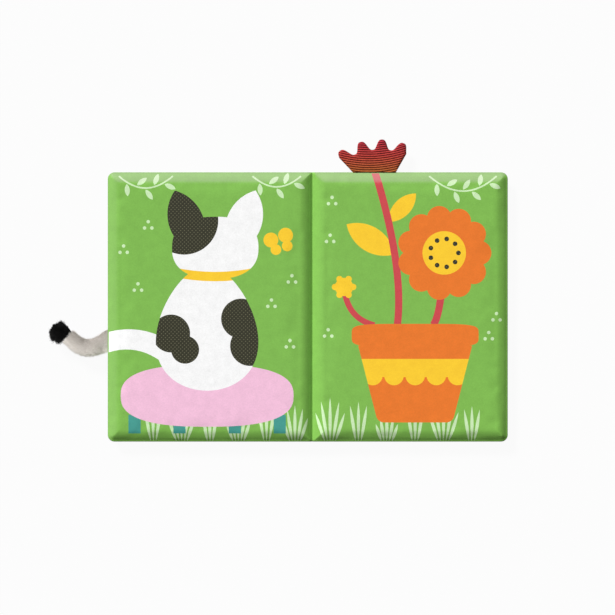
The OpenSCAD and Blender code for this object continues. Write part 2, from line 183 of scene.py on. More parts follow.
class Nodes:
    """Short names for building one material's node tree."""

    def __init__(self, name):
        self.material = bpy.data.materials.new(name)
        self.material.use_nodes = True
        self.tree = self.material.node_tree
        self.shader = self.tree.nodes["Principled BSDF"]

    def add(self, kind, **values):
        node = self.tree.nodes.new(kind)
        for key, value in values.items():
            setattr(node, key, value)
        return node

    def link(self, source, target):
        self.tree.links.new(source, target)

    def math(self, operation, a, b=None):
        node = self.add("ShaderNodeMath", operation=operation)
        for socket, value in zip(node.inputs, (a, b)):
            if value is None:
                continue
            if isinstance(value, (int, float)):
                socket.default_value = value
            else:
                self.link(value, socket)
        return node.outputs[0]

    def noise(self, vector, scale, detail):
        node = self.add("ShaderNodeTexNoise")
        node.inputs["Scale"].default_value = scale
        node.inputs["Detail"].default_value = detail
        self.link(vector, node.inputs["Vector"])
        return node.outputs["Fac"]

    def remap(self, value, low, high, to_low, to_high):
        node = self.add("ShaderNodeMapRange")
        for socket, number in zip(node.inputs[1:5], (low, high, to_low, to_high)):
            socket.default_value = number
        self.link(value, node.inputs[0])
        return node.outputs[0]

    def mix(self, factor, a, b):
        node = self.add("ShaderNodeMix", data_type="RGBA")
        for socket, value in zip((node.inputs[0], node.inputs[6], node.inputs[7]), (factor, a, b)):
            if isinstance(value, (int, float, tuple)):
                socket.default_value = value
            else:
                self.link(value, socket)
        return node.outputs[2]


def finish_cloth(nodes, specular, roughness):
    """A dull surface with a little sheen."""
    shader = nodes.shader
    shader.inputs["Roughness"].default_value = roughness
    shader.inputs["Specular IOR Level"].default_value = specular
    shader.inputs["Sheen Weight"].default_value = 0.02
    shader.inputs["Sheen Roughness"].default_value = 0.5


def weave_bump(nodes, vector, pitch_mm, strength):
    """Plain weave: two sets of threads, with fibre fuzz over them."""
    waves_per_unit = 20 / (2 * math.pi)
    scale = 1 / (waves_per_unit * pitch_mm * MM)
    fuzz_share = 1.2
    thread_h = 0.12 * MM
    threads = []
    for direction in ("X", "Y"):
        wave = nodes.add("ShaderNodeTexWave", wave_type="BANDS", bands_direction=direction)
        wave.inputs["Scale"].default_value = scale
        wave.inputs["Distortion"].default_value = 0.6
        nodes.link(vector, wave.inputs["Vector"])
        threads.append(wave.outputs["Fac"])
    height = nodes.math("MULTIPLY", threads[0], threads[1])
    fuzz = nodes.noise(vector, scale=1400.0, detail=3.0)
    height = nodes.math("ADD", height, nodes.math("MULTIPLY", fuzz, fuzz_share))
    bump = nodes.add("ShaderNodeBump")
    bump.inputs["Strength"].default_value = strength
    bump.inputs["Distance"].default_value = thread_h
    nodes.link(height, bump.inputs["Height"])
    nodes.link(bump.outputs["Normal"], nodes.shader.inputs["Normal"])


def cloth_material(name, colour, pin_dots=None):
    """Printed polyester cloth: fine weave, a slightly uneven colour, pin dots where asked, and a painted
    highlight on the slopes that a vertex attribute marks.
    """
    nodes = Nodes(name)
    vector = nodes.add("ShaderNodeTexCoord").outputs["Object"]
    base = linear(colour)
    darker, lighter, blotch_share = 0.90, 1.06, 0.45
    dark = tuple(c * darker for c in base[:3]) + (1.0,)
    light = tuple(min(c * lighter, 1.0) for c in base[:3]) + (1.0,)
    blotch = nodes.math("MULTIPLY", nodes.noise(vector, scale=160.0, detail=3.0), blotch_share)
    grain = nodes.math("MULTIPLY", nodes.noise(vector, scale=1100.0, detail=2.0), 1 - blotch_share)
    tone = nodes.math("ADD", blotch, grain)
    paint = nodes.mix(nodes.remap(tone, low=0.3, high=0.7, to_low=0.0, to_high=1.0), dark, light)
    if pin_dots:
        paint = nodes.mix(pin_dot_mask(nodes, vector), paint, linear(pin_dots))
    # Painted highlight: paler and greyer where the vertex attribute marks the slopes that face the light
    painted_highlight = nodes.add("ShaderNodeAttribute", attribute_name="painted_highlight")
    paint = nodes.mix(nodes.math("MULTIPLY", painted_highlight.outputs["Fac"], TOP_HIGHLIGHT), paint, linear(HIGHLIGHT_GREY))
    nodes.link(paint, nodes.shader.inputs["Base Color"])
    weave_bump(nodes, vector, pitch_mm=0.55, strength=0.16)
    finish_cloth(nodes, specular=0.15, roughness=0.7)
    return nodes.material


def pin_dot_mask(nodes, vector, pitch_mm=2.0, radius=0.19):
    """1 inside small dots on a slanted square grid, 0 between them."""
    turn = nodes.add("ShaderNodeMapping")
    turn.inputs["Rotation"].default_value = (0, 0, math.radians(45))
    turn.inputs["Scale"].default_value = (1 / (pitch_mm * MM), 1 / (pitch_mm * MM), 0)
    nodes.link(vector, turn.inputs["Vector"])
    cell = nodes.add("ShaderNodeVectorMath", operation="FRACTION")
    nodes.link(turn.outputs[0], cell.inputs[0])
    centred = nodes.add("ShaderNodeVectorMath", operation="SUBTRACT")
    centred.inputs[1].default_value = (0.5, 0.5, 0)
    nodes.link(cell.outputs[0], centred.inputs[0])
    distance = nodes.add("ShaderNodeVectorMath", operation="LENGTH")
    nodes.link(centred.outputs[0], distance.inputs[0])
    return nodes.math("LESS_THAN", distance.outputs["Value"], radius)


def fibre_material(name, root, tip, gloss, through=0.0):
    """Pile or fur: strands darker at their roots, each a little different, that let some light through."""
    nodes = Nodes(name)
    strand = nodes.add("ShaderNodeAttribute", attribute_name="tone")
    paint = nodes.mix(strand.outputs["Fac"], linear(root), linear(tip))
    nodes.link(paint, nodes.shader.inputs["Base Color"])
    finish_cloth(nodes, specular=gloss, roughness=0.7)
    back_lit = nodes.add("ShaderNodeBsdfTranslucent")
    mixed = nodes.add("ShaderNodeMixShader")
    mixed.inputs[0].default_value = through
    nodes.link(paint, back_lit.inputs["Color"])
    nodes.link(nodes.shader.outputs[0], mixed.inputs[1])
    nodes.link(back_lit.outputs[0], mixed.inputs[2])
    surface = nodes.tree.get_output_node("CYCLES").inputs["Surface"]
    nodes.link(mixed.outputs[0], surface)
    return nodes.material


def corduroy_material(name, low_y, high_y):
    """Ribbed cloth that fades from rust at its root to crimson at its tips, with painted shade in the
    grooves.
    """
    nodes = Nodes(name)
    vector = nodes.add("ShaderNodeTexCoord").outputs["Object"]
    split = nodes.add("ShaderNodeSeparateXYZ")
    nodes.link(vector, split.inputs[0])
    rise = nodes.remap(split.outputs["Y"], low_y, high_y, to_low=0.0, to_high=1.0)
    ramp = nodes.add("ShaderNodeValToRGB")
    stops = ramp.color_ramp.elements
    stops[0].color = linear(CREST_LOW)
    stops[1].color = linear(CREST_HIGH)
    stops.new(0.5).color = linear(CREST_MIDDLE)
    nodes.link(rise, ramp.inputs[0])
    # Painted shade: darker in the grooves between the ribs
    rib = nodes.add("ShaderNodeAttribute", attribute_name="rib")
    groove_shade = nodes.remap(rib.outputs["Fac"], low=0.3, high=0.9, to_low=1.0, to_high=0.0)
    fuzz = nodes.noise(vector, scale=900.0, detail=3.0)
    wear = nodes.remap(fuzz, low=0.35, high=0.7, to_low=0.0, to_high=0.35)
    worn = nodes.mix(wear, ramp.outputs[0], linear(CREST_WORN))
    paint = nodes.mix(groove_shade, worn, linear(CREST_GROOVE_SHADE))
    nodes.link(paint, nodes.shader.inputs["Base Color"])
    weave_bump(nodes, vector, pitch_mm=0.45, strength=0.4)
    finish_cloth(nodes, specular=0.05, roughness=0.8)
    return nodes.material


# Mesh helpers

def mesh_object(name, verts, faces, materials, face_material=None):
    """A smooth-shaded object in the scene, in metres, with a material number for each face where given."""
    mesh = bpy.data.meshes.new(name)
    mesh.from_pydata([tuple(v) for v in verts], [], [tuple(f) for f in faces])
    for material in materials:
        mesh.materials.append(material)
    if face_material is not None:
        mesh.polygons.foreach_set("material_index", face_material)
    mesh.polygons.foreach_set("use_smooth", [True] * len(mesh.polygons))
    mesh.update()
    obj = bpy.data.objects.new(name, mesh)
    bpy.context.collection.objects.link(obj)
    return obj


def set_attribute(obj, name, values):
    """A number at each vertex, for the material to read."""
    attribute = obj.data.attributes.new(name, "FLOAT", "POINT")
    attribute.data.foreach_set("value", np.asarray(values, np.float32))


def triangulate(points, edges):
    """Constrained Delaunay triangles of 2-D points in mm: (points, triangles)."""
    coords = [Vector((float(x), float(y))) for x, y in points]
    out = delaunay_2d_cdt(coords, edges, [], 0, 1e-4)
    return np.array([(p.x, p.y) for p in out[0]]), [tuple(f) for f in out[2]]


def compact(points, faces):
    """The points that the faces use, and the faces with their new numbers."""
    used = sorted({k for f in faces for k in f})
    renumber = {k: n for n, k in enumerate(used)}
    return points[used], [tuple(renumber[k] for k in f) for f in faces]


def top_segments(node):
    """Outline, in mm, of a CAD node's upper faces seen from above, as pairs of points."""
    steps_per_mm = 100
    least_up = 0.2
    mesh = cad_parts[node].data
    mesh.calc_loop_triangles()
    co = np.array([v.co for v in mesh.vertices]) / MM
    key = [tuple(np.round(p * steps_per_mm).astype(int)) for p in co]
    count = {}
    for tri in mesh.loop_triangles:
        a, b, c = (co[i] for i in tri.vertices)
        normal = np.cross(b - a, c - a)
        if normal[2] <= least_up * np.linalg.norm(normal):
            continue
        corners = [key[i][:2] for i in tri.vertices]
        for p, q in zip(corners, corners[1:] + corners[:1]):
            if p != q:
                edge = (min(p, q), max(p, q))
                count[edge] = count.get(edge, 0) + 1
    outline = [edge for edge, n in sorted(count.items()) if n == 1]
    return [(np.array(p) / steps_per_mm, np.array(q) / steps_per_mm) for p, q in outline]


def chains(segments):
    """Segments joined end to end, as lists of points."""
    ends = {}
    for number, pair in enumerate(segments):
        for p in pair:
            ends.setdefault(tuple(np.round(p, 2)), []).append(number)
    left = set(range(len(segments)))
    while left:
        number = min(left)
        left.discard(number)
        chain = [segments[number][0], segments[number][1]]
        while True:
            tip = tuple(np.round(chain[-1], 2))
            near = [n for n in ends[tip] if n in left]
            if not near:
                break
            left.discard(near[0])
            a, b = segments[near[0]]
            chain.append(b if tuple(np.round(a, 2)) == tip else a)
        yield chain


def thinned(chain, limit, tolerance=0.03):
    """The chain with only the points that its shape needs, and no step longer than limit(point)."""
    chain = np.array(chain)
    out = [chain[0]]
    i = 0
    while i < len(chain) - 1:
        j = i + 1
        while j + 1 < len(chain):
            run = chain[j + 1] - chain[i]
            length = np.hypot(*run)
            if length > limit(chain[i]) or length < 1e-6:
                break
            between = chain[i + 1:j + 1] - chain[i]
            if np.abs(between[:, 0] * run[1] - between[:, 1] * run[0]).max() / length > tolerance:
                break
            j += 1
        step = chain[j] - chain[i]
        parts = max(1, math.ceil(np.hypot(*step) / limit(chain[i])))
        out += [chain[i] + step * k / parts for k in range(1, parts + 1)]
        i = j
    return out


def segment_distance(points, segments):
    """Least distance from each point to a set of segments."""
    a = np.array([s[0] for s in segments])
    d = np.array([s[1] for s in segments]) - a
    length = np.maximum((d * d).sum(1), 1e-12)
    best = np.full(len(points), 1e9)
    batch = 500
    for start in range(0, len(points), batch):
        p = points[start:start + batch, None, :]
        t = np.clip(((p - a) * d).sum(2) / length, 0, 1)
        gap = np.linalg.norm(p - a - t[..., None] * d, axis=2)
        best[start:start + batch] = gap.min(1)
    return best


def node_tree(node):
    """Search tree of a CAD node's triangles, in metres."""
    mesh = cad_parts[node].data
    mesh.calc_loop_triangles()
    return BVHTree.FromPolygons([v.co for v in mesh.vertices],
                                [tuple(t.vertices) for t in mesh.loop_triangles])


def lies_under(tree, x, y, above):
    """Whether a search tree's triangles lie under a point, all in metres."""
    return tree.ray_cast(Vector((x, y, above)), Vector((0, 0, -1)))[0] is not None


# Padded leaves

class Leaf:
    """Shape of one padded leaf, in mm. u runs from the fold to the outer edge and v up the page."""

    def __init__(self, node, seam):
        low, high = (np.array(corner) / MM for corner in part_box(node))
        self.side = -1 if low[0] + high[0] < 0 else 1
        self.fold = min(abs(low[0]), abs(high[0]))
        self.w = high[0] - low[0]
        self.h = high[1] - low[1]
        self.z0 = low[2]
        self.z1 = high[2]
        self.seam = low[2] + seam

    def to_xy(self, uv):
        return np.column_stack([self.side * (uv[:, 0] + self.fold), uv[:, 1]])

    def to_uv(self, xy):
        return np.column_stack([self.side * xy[:, 0] - self.fold, xy[:, 1]])

    def edge(self, uv):
        """(distance in from the edge, outward direction) at each point."""
        du = np.minimum(uv[:, 0], self.w - uv[:, 0])
        dv = self.h / 2 - np.abs(uv[:, 1])
        outer = uv[:, 0] > self.w / 2
        r = np.where(outer, CORNER_R, FOLD_CORNER_R)
        su = np.where(outer, 1.0, -1.0)
        sv = np.where(uv[:, 1] > 0, 1.0, -1.0)
        corner = (du < r) & (dv < r)
        cu, cv = r - du, r - dv
        reach = np.maximum(np.hypot(cu, cv), 1e-9)
        d = np.where(corner, r - reach, np.minimum(du, dv))
        out_u = np.where(corner, su * cu / reach, np.where(du < dv, su, 0.0))
        out_v = np.where(corner, sv * cv / reach, np.where(du < dv, 0.0, sv))
        return d, np.column_stack([out_u, out_v])

    def loop(self, inset, step=2.4):
        """Points of the outline, moved in by inset."""
        u0, u1, v1 = inset, self.w - inset, self.h / 2 - inset
        least_r = 0.05
        outer = max(CORNER_R - inset, least_r)
        inner = max(FOLD_CORNER_R - inset, least_r)
        corners = [(u1, v1, outer, 0), (u0, v1, inner, 90), (u0, -v1, inner, 180), (u1, -v1, outer, 270)]
        points = []
        for u, v, r, start in corners:
            cu = u - r if u == u1 else u + r
            cv = v - math.copysign(r, v)
            steps = 8 if r > 1 else 2
            for k in range(steps + 1):
                a = math.radians(start + 90 * k / steps)
                points.append((cu + r * math.cos(a), cv + r * math.sin(a)))
        dense = []
        for p, q in zip(points, points[1:] + points[:1]):
            gap = math.dist(p, q)
            n = max(1, round(gap / step))
            dense += [(p[0] + (q[0] - p[0]) * k / n, p[1] + (q[1] - p[1]) * k / n) for k in range(n)]
        return np.array(dense)

    def slope(self, d):
        """Rise of the padding, from 0 at the rolled edge to 1 on the flat, steepest at the edge."""
        last = 0.2
        x = np.clip((d - ROLL_W) / (SLOPE_W - ROLL_W), 0, 1)
        return x * (2 - last - (1 - last) * x)

    def top(self, d):
        """Height of the upper sheet, before the cloth simulation's puff, at d in from the edge."""
        low = self.seam + ROLL_H
        return low + (self.z1 - PUFF - low) * self.slope(d)

    def bottom(self, d):
        """Height of the under sheet at d in from the edge."""
        low = self.seam - ROLL_H
        return low - (low - self.z0) * self.slope(d)


def pucker(leaf, uv, d):
    """Small gathers that the edge seam pulls into the slope, and faint swells of the padding, in mm."""
    gather_h, gathers_along, gathers_in, gather_seed = 0.07, 0.16, 0.05, 7.3
    swell_h, swells, swell_seed = 0.07, 0.022, 3.1
    slope_middle = 3.0
    near_u = np.minimum(uv[:, 0], leaf.w - uv[:, 0])
    along = np.where(near_u < leaf.h / 2 - np.abs(uv[:, 1]), uv[:, 1], uv[:, 0])
    gather = np.array([noise.noise((s * gathers_along, x * gathers_in, leaf.side * gather_seed))
                       for s, x in zip(along, d)])
    swell = np.array([noise.noise((u * swells, v * swells, leaf.side * swell_seed)) for u, v in uv])
    on_slope = np.exp(-((d - slope_middle) / slope_middle) ** 2) * ease((uv[:, 0] - 5) / 6)
    return gather_h * gather * on_slope + swell_h * swell * ease(d / 14)


def puffed_top(leaf):
    """Cloth simulation of the leaf's upper sheet under the padding's pressure: its rise in mm on a grid."""
    step = 5.0
    nu = int(leaf.w / step) + 1
    nv = int(leaf.h / step) + 1
    us = np.linspace(0, leaf.w, nu)
    vs = np.linspace(-leaf.h / 2, leaf.h / 2, nv)
    uv = np.array([(u, v) for u in us for v in vs])
    d, _ = leaf.edge(uv)
    base = (leaf.z1 - leaf.seam - PUFF) * leaf.slope(d)
    # Flat beside the fold, where the cloth is sewn down
    calm = ease((us - 4) / 8)[:, None]
    rng = random.Random(5)
    verts = [(u * MM, v * MM, (z + rng.uniform(-0.05, 0.05)) * MM) for (u, v), z in zip(uv, base)]
    faces = [(i * nv + j, (i + 1) * nv + j, (i + 1) * nv + j + 1, i * nv + j + 1)
             for i in range(nu - 1) for j in range(nv - 1)]
    sheet = mesh_object("puff_sheet", verts, faces, [])
    pins = sheet.vertex_groups.new(name="pins")
    pins.add([int(k) for k in np.nonzero(d < 0.5)[0]], 1.0, "ADD")
    modifier = sheet.modifiers.new("Cloth", "CLOTH")
    settings = modifier.settings
    settings.quality = 6
    settings.vertex_group_mass = "pins"
    settings.tension_stiffness = 30
    settings.compression_stiffness = 30
    settings.bending_stiffness = 2.0
    settings.use_pressure = True
    settings.uniform_pressure_force = 4.0
    settings.shrink_min = -0.01
    settings.effector_weights.gravity = 0.0
    modifier.collision_settings.use_collision = False
    scene = bpy.context.scene
    last_frame = 20
    for number in range(1, last_frame + 1):
        scene.frame_set(number)
    shaped = sheet.evaluated_get(bpy.context.evaluated_depsgraph_get()).to_mesh()
    rise = np.array([v.co.z for v in shaped.vertices]) / MM - base
    scene.frame_set(1)
    bpy.data.objects.remove(sheet, do_unlink=True)
    return us, vs, calm * (PUFF * np.tanh(rise / PUFF)).reshape(nu, nv)


def on_grid(grid, uv):
    """Bilinear value of a (us, vs, values) grid at each point."""
    us, vs, values = grid
    fu = np.clip((uv[:, 0] - us[0]) / (us[1] - us[0]), 0, len(us) - 1.001)
    fv = np.clip((uv[:, 1] - vs[0]) / (vs[1] - vs[0]), 0, len(vs) - 1.001)
    i, j = fu.astype(int), fv.astype(int)
    a, b = fu - i, fv - j
    return ((1 - a) * (1 - b) * values[i, j] + a * (1 - b) * values[i + 1, j]
            + (1 - a) * b * values[i, j + 1] + a * b * values[i + 1, j + 1])


def inner_points(leaf, step):
    """Points that a sheet needs to follow the slope: rings near the edge and a grid inside them."""
    rings = [leaf.loop(inset) for inset in RING_INSETS]
    margin = 14.0
    us = np.arange(margin, leaf.w - margin + 0.1, step)
    vs = np.arange(margin - leaf.h / 2, leaf.h / 2 - margin + 0.1, step)
    grid = np.array([(u, v) for u in us for v in vs])
    return np.vstack(rings + [grid])


def print_edges(leaf, prints):
    """Borders of the printed fields in leaf coordinates: (points, edges, segments)."""
    step_on_slope, step_on_flat, shared_border = 1.2, 4.0, 0.12

    def limit(p):
        return step_on_slope if leaf.edge(p[None, :])[0][0] < SLOPE_W + 2 else step_on_flat

    kept = []
    for node in prints:
        segments = []
        for chain in chains(top_segments(node)):
            points = thinned(leaf.to_uv(np.array(chain)), limit)
            segments += list(zip(points, points[1:]))
        if kept:
            probes = np.array([p for a, b in segments for p in (a, (a + b) / 2, b)])
            gap = segment_distance(probes, kept).reshape(-1, 3).max(1)
            segments = [s for s, g in zip(segments, gap) if g > shared_border]
        kept += segments
    points, edges = numbered(kept)
    return points, edges, kept


def numbered(segments):
    """Segments as an array of points and pairs of their numbers."""
    points, edges, index = [], [], {}
    for pair in segments:
        ends = []
        for p in pair:
            key = tuple(np.round(p, 2))
            if key not in index:
                index[key] = len(points)
                points.append(p)
            ends.append(index[key])
        if ends[0] != ends[1]:
            edges.append(tuple(ends))
    return np.array(points).reshape(-1, 2), edges


def boundary_chain(faces):
    """Vertices round the outside of a set of triangles, in order."""
    count = {}
    for face in faces:
        for p, q in zip(face, face[1:] + face[:1]):
            count[(p, q)] = count.get((p, q), 0) + 1
    after = {p: q for (p, q) in count if (q, p) not in count}
    start = min(after)
    chain = [start]
    while after[chain[-1]] != start:
        chain.append(after[chain[-1]])
    return chain


def leaf_piece(name, node, seam, materials, prints=(), puff=None):
    """A padded leaf: an upper sheet cut along the print's borders, a rolled sewn edge and an under sheet."""
    top_step, under_step, clear_of_borders = 3.0, 6.0, 0.45
    leaf = Leaf(node, seam)
    rim = leaf.loop(ROLL_W)
    ring = [(k, (k + 1) % len(rim)) for k in range(len(rim))]
    inside = inner_points(leaf, top_step)
    art, art_edges, borders = print_edges(leaf, prints)
    if borders:
        inside = inside[segment_distance(inside, borders) > clear_of_borders]
    offset = len(rim)
    edges = ring + [(a + offset, b + offset) for a, b in art_edges]
    uv, faces = triangulate(np.vstack([rim, art, inside]), edges)
    centre = np.array([uv[list(f)].mean(0) for f in faces])
    d_centre, _ = leaf.edge(centre)
    inner = d_centre > ROLL_W - 0.03
    uv, faces = compact(uv, [f for f, keep in zip(faces, inner) if keep])
    d, _ = leaf.edge(uv)
    top = leaf.top(d)
    if puff is not None:
        top = top + on_grid(puff, uv) * ease((d - ROLL_W) / 4)
    else:
        top = top + PUFF * leaf.slope(d)
    top = top + pucker(leaf, uv, d) * ease((d - ROLL_W) / 1.5)
    kinds = field_of(leaf, centre[inner], prints)

    chain = boundary_chain(faces)
    rim_uv = uv[chain]
    _, outward = leaf.edge(rim_uv)
    # At the fold the roll is pulled in, under the cloth that joins the two leaves
    pulled_in, pulled_flat = 0.65, 0.2
    fold = np.clip(-outward[:, 0], 0, 1)
    out_share = 1 - pulled_in * fold
    up_share = 1 - pulled_flat * fold
    verts = [np.column_stack([leaf.to_xy(uv), top])]
    count = len(uv)
    previous = chain
    for out, up in ROLL_PROFILE:
        moved = rim_uv + outward * (out * ROLL_W * out_share)[:, None]
        z = leaf.seam + up * ROLL_H * up_share
        verts.append(np.column_stack([leaf.to_xy(moved), z]))
        current = list(range(count, count + len(moved)))
        count += len(moved)
        for k in range(len(moved)):
            n = (k + 1) % len(moved)
            faces.append((previous[k], previous[n], current[n], current[k])[::-1])
            kinds.append(0)
        previous = current

    # The under sheet shares its rim with the end of the roll
    n_rim = len(rim_uv)
    ring = [(k, (k + 1) % n_rim) for k in range(n_rim)]
    low_uv, low_faces = triangulate(np.vstack([rim_uv, inner_points(leaf, under_step)]), ring)
    d, _ = leaf.edge(low_uv)
    verts.append(np.column_stack([leaf.to_xy(low_uv), leaf.bottom(d)])[n_rim:])
    for face in low_faces:
        faces.append(tuple(previous[k] if k < n_rim else k - n_rim + count for k in face)[::-1])
        kinds.append(0)
    if leaf.side < 0:
        faces = [f[::-1] for f in faces]
    return mesh_object(name, np.vstack(verts) * MM, faces, materials, kinds)


def painted_highlight_bands(leaf, obj):
    """How strong the painted highlight is at each vertex: along the top edge's slope, and less on the left
    one.
    """
    points = np.array([v.co[:] for v in obj.data.vertices]) / MM
    uv = leaf.to_uv(points[:, :2])
    from_top = leaf.h / 2 - uv[:, 1]
    from_bottom = leaf.h / 2 + uv[:, 1]
    from_outer = leaf.w - uv[:, 0]
    band = ease((SLOPE_W - from_top) / 2) * ease(np.minimum(uv[:, 0], from_outer) - from_top + 0.5)
    if leaf.side < 0:
        ends = np.minimum(from_top, from_bottom)
        band = band + SIDE_HIGHLIGHT * ease((SLOPE_W - from_outer) / 3) * ease(ends - from_outer + 0.5)
    return np.where(points[:, 2] > leaf.seam, band, 0.0)


def field_of(leaf, centre, prints):
    """Number of the printed field that each point lies in, or 0 for bare cloth."""
    kinds = [0] * len(centre)
    xy = leaf.to_xy(centre) * MM
    above = (leaf.z1 + 20) * MM
    for number, node in reversed(list(enumerate(prints, 1))):
        tree = node_tree(node)
        for k, (x, y) in enumerate(xy):
            if lies_under(tree, x, y, above):
                kinds[k] = number
    return kinds


def dress_leaves():
    """The two pages and the cover under each. Returns the green cloth, which the fold shares."""
    green = cloth_material("green_cloth", GREEN)
    inks = {}
    for field, colour in FIELDS.items():
        dots = PIN_DOTS if field == "charcoal" else None
        inks[field] = cloth_material(SLOTS.get(field, field + "_print"), colour, dots)
    left = ["yellow", "charcoal", "white", "pink", "teal", "grass"]
    right = ["charcoal", "yellow", "red", "orange", "grass"]
    halves = (("left", left, FRONT, "front_cover"), ("right", right, BACK, "back_cover"))
    for side, fields, body, cover in halves:
        prints = [f"{side}_print_{field}" for field in fields]
        paints = [green] + [inks[field] for field in fields]
        node = f"{side}_page"
        leaf = Leaf(node, PAGE_SEAM)
        page = leaf_piece(f"{side}_page_cloth", node, PAGE_SEAM, paints, prints, puffed_top(leaf))
        # Painted highlight on the top slope, and on the left page's left slope
        set_attribute(page, "painted_highlight", painted_highlight_bands(leaf, page))
        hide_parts(node, *prints)
        back = leaf_piece(f"{cover}_cloth", cover, COVER_SEAM, [green])
        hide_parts(cover)
        for piece in (page, back):
            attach(piece, body)
    return green


# Fold and spine

def strip(name, outer, inner, length, material, drop):
    """Cloth along the fold. outer and inner are the (x, z) points in mm of its two faces, in pairs.
    drop(x, y, z) is how far a point comes down from that section."""
    end_rows, middle_rows = 12, 29
    middle = length / 2 - SLOPE_W - 1
    ends = [middle + (length / 2 - middle) * k / end_rows for k in range(end_rows + 1)]
    between = list(np.linspace(-middle, middle, middle_rows + 1))[1:-1]
    ys = [-y for y in ends[::-1]] + between + ends
    section = list(outer) + list(inner)[::-1]
    n = len(section)
    verts, faces, caps = [], [], []
    for y in ys:
        verts += [(x * MM, y * MM, (z - drop(x, y, z)) * MM) for x, z in section]
    last = (len(ys) - 1) * n
    for low in range(0, last, n):
        faces += [(low + k, low + (k + 1) % n, low + n + (k + 1) % n, low + n + k) for k in range(n)]
    for k in range(n // 2 - 1):
        quad = (k, k + 1, n - 2 - k, n - 1 - k)
        caps += [quad[::-1], tuple(last + q for q in quad)]
    obj = mesh_object(name, verts, faces + caps, [material])
    for polygon in obj.data.polygons[len(faces):]:
        polygon.use_smooth = False
    return obj


def dress_gutter(green, page):
    """A V of cloth that carries the two pages' slopes down to the fold. Returns the height of its underside
    at the fold."""
    reach = 5.4
    columns = 36
    above_page = 0.06
    dive, dive_from, dive_w = 0.4, 0.5, 1.6
    run = 2.0
    roll_share = 0.55
    rim_x = page.fold + ROLL_W
    steep = (page.top(np.array(rim_x - page.fold + run)) - page.top(np.array(ROLL_W))) / run
    xs = np.linspace(-reach, reach, columns + 1)
    across = np.abs(xs)
    on_page = page.top(np.maximum(across - page.fold, ROLL_W)) - steep * np.maximum(rim_x - across, 0)
    lift = above_page - dive * ease((across - rim_x - dive_from) / dive_w)
    upper = list(zip(xs, on_page + lift))
    lower = [(x, z - CLOTH_T) for x, z in upper]

    def end_drop(x, y, z):
        """How far the pages' end slopes lie below their slopes at the fold, at any z."""
        side_d = max(abs(x) - page.fold, ROLL_W)
        end_d = page.h / 2 - abs(y)
        roll = ROLL_H * roll_share * max(0.0, 1 - end_d / ROLL_W) ** 2
        nearest = min(side_d, max(end_d, ROLL_W))
        return roll + float(page.top(np.array(side_d)) - page.top(np.array(nearest)))

    gutter = strip("gutter_cloth", upper, lower, page.h, green, end_drop)
    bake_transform(gutter)
    return min(z for x, z in lower)


def dress_spine(green, cover, ceiling):
    """Cloth under the covers, with its slack as a pleat in the fold that opens when the book closes.
    The pleat stays below ceiling."""
    low, high = (np.array(corner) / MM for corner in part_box("spine"))
    length = high[1] - low[1]
    half = 8.4
    table_gap = 0.03
    slit = 0.1
    ply = 0.2
    cover_gap = 0.15
    pleat_gap = 0.25
    flat_t = 0.7
    flat_points, pleat_points = 16, 9
    pleat_foot, pleat_foot_over = 0.5, 0.9
    pleat_top = ceiling - pleat_gap
    flat = np.linspace(half, slit, flat_points)
    flat_over = np.linspace(half, slit + ply, flat_points)
    room = cover.bottom(np.maximum(flat_over - cover.fold, 0)) - cover_gap
    over_z = np.clip(room, table_gap + CLOTH_T, flat_t)
    under = [(x, table_gap) for x in flat]
    under += [(slit, z) for z in np.linspace(pleat_foot, pleat_top - ply, pleat_points)]
    over = list(zip(flat_over, over_z))
    over += [(slit + ply, z) for z in np.linspace(pleat_foot_over, pleat_top, pleat_points)]

    def mirrored(right, z):
        """One whole face from its right half, with its middle at height z."""
        return [(-x, h) for x, h in right] + [(0.0, z)] + right[::-1]

    def end_lift(x, y, z):
        """The flat part's ends rise with the covers' end slopes and stay below them; negative, as a drop."""
        end_d = cover.h / 2 - abs(y)
        side_d = max(abs(x) - cover.fold, 0.0)
        rise = float(cover.bottom(np.array(end_d))) * (1 - z / pleat_top)
        if z > flat_t:
            return -rise
        limit = float(cover.bottom(np.array(min(side_d, end_d)))) - cover_gap
        if z == table_gap:
            limit -= CLOTH_T
        return -max(0.0, min(rise, limit - z))

    outer, inner = mirrored(over, pleat_top), mirrored(under, pleat_top - ply)
    spine = strip("spine_cloth", outer, inner, length, green, end_lift)
    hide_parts("spine")
    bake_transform(spine)


# Pile and fur

def scatter(rng, spread):
    """A random offset, the same in all directions."""
    return Vector((rng.gauss(0, spread), rng.gauss(0, spread), rng.gauss(0, spread)))


class Strands:
    """Collects thin tapered ribbons, with a tone from root to tip, for one mesh."""

    def __init__(self):
        self.verts = []
        self.faces = []
        self.tones = []

    def tube(self, rings, sides, place, tone):
        """A closed body under the strands. place(i / rings, angle) gives its points."""
        for i in range(rings + 1):
            for j in range(sides):
                self.verts.append(place(i / rings, 2 * math.pi * j / sides))
                self.tones.append(tone)
        for i in range(rings):
            for j in range(sides):
                a, b = i * sides + j, i * sides + (j + 1) % sides
                self.faces.append((a, b, b + sides, a + sides))
        self.faces.append(tuple(range(sides))[::-1])
        self.faces.append(tuple(rings * sides + j for j in range(sides)))

    def add(self, path, width, low, high, facing):
        """One strand along path, from its root to its tip, with its tone going from low to high."""
        taper = 0.35
        base = len(self.verts)
        last = len(path) - 1
        run = path[-1] - path[0]
        side = run.cross(facing).normalized() * (width / 2)
        for k, point in enumerate(path[:-1]):
            grow = 1 - taper * k / last
            self.verts += [point - side * grow, point + side * grow]
            self.tones += [low + (high - low) * k / last] * 2
        self.verts.append(path[-1])
        self.tones.append(high)
        for k in range(last - 1):
            a = base + 2 * k
            self.faces.append((a, a + 1, a + 3, a + 2))
        a = base + 2 * (last - 1)
        self.faces.append((a, a + 1, a + 2))

    def piece(self, name, material, node, slot):
        """The collected strands as one object in place of a CAD node."""
        obj = mesh_object(name, [v * MM for v in self.verts], self.faces, [material])
        set_attribute(obj, "tone", np.clip(self.tones, 0, 1))
        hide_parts(node)
        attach(obj, FRONT)


